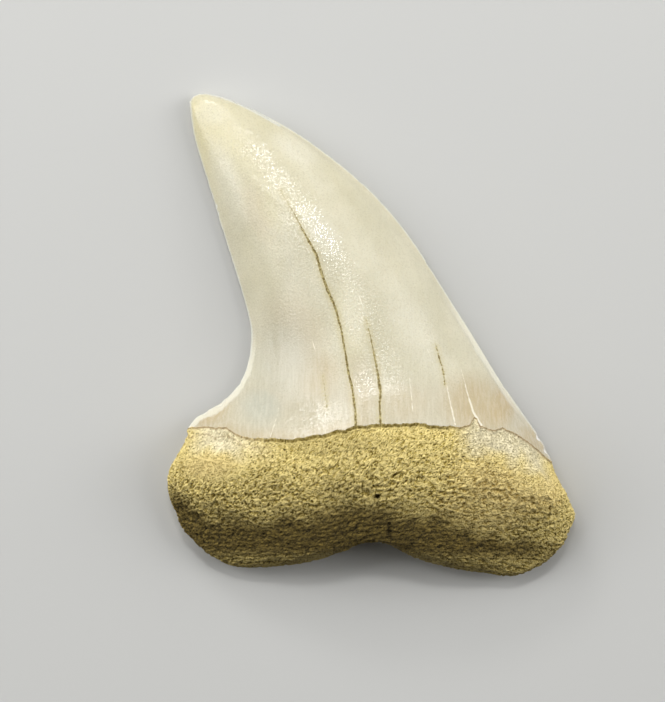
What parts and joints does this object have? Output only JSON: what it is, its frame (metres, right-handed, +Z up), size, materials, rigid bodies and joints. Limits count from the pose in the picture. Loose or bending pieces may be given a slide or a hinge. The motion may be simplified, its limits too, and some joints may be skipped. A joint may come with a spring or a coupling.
{
  "type": "fossil shark tooth",
  "caption": "Fossil shark tooth lying on its flat face: a curved pointed ivory enamel crown on a thick rough two-lobed yellow-brown root.",
  "frame": {"origin": "middle of the tooth's bounding box, on the plane it lies on", "axes": "+Z up out of the rounded lingual face, +Y from the root to the tip, +X from the short concave edge to the long edge"},
  "size_m": [0.0448, 0.053, 0.0113],
  "materials": {
    "fossil_tooth": "satin ivory enamel crown over a matt, porous yellow-brown root"
  },
  "bodies": {
    "root": {"tooth": "fossil_tooth"}
  },
  "joints": []
}
